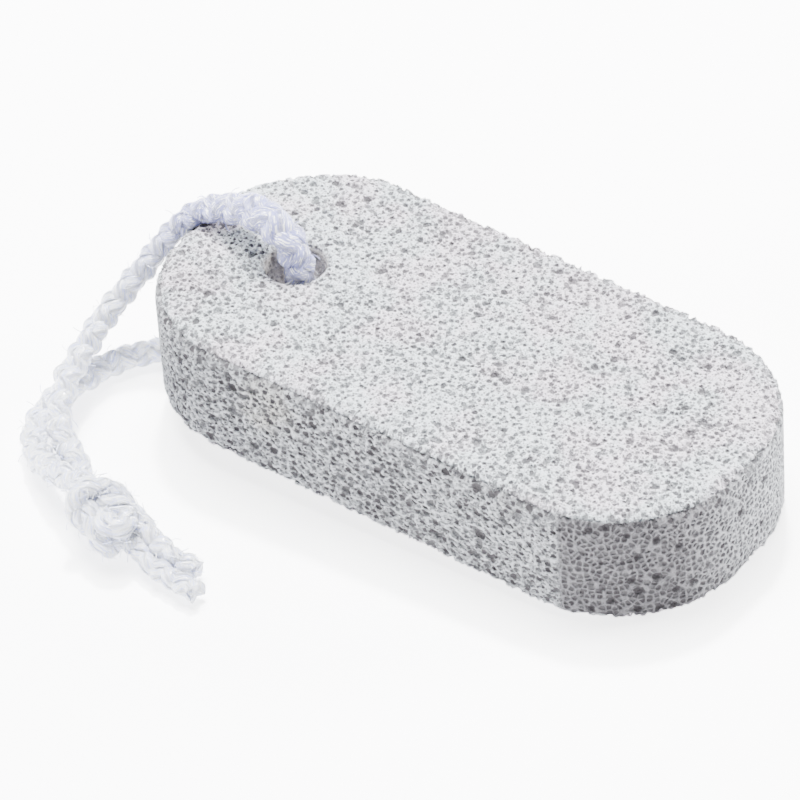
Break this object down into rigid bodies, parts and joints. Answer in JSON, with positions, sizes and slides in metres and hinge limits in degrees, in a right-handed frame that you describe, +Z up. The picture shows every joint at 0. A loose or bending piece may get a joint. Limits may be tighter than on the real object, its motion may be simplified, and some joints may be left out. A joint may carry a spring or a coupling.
{
  "type": "pumice stone",
  "caption": "Block of porous pale pumice with round corners, for rubbing feet smooth, with a knotted white cord through a hole at one end.",
  "frame": {"origin": "on the surface that the stone lies on, under the middle of the stone's own box", "axes": "+X along the stone, from the end with the cord hole to the plain end; +Y across it, away from the knot; +Z up"},
  "size_m": [0.1068, 0.0708, 0.0315],
  "materials": {
    "pumice": "matte",
    "braid": "satin"
  },
  "bodies": {
    "root": {"pumice_stone": "pumice", "cord": "braid"}
  },
  "joints": []
}
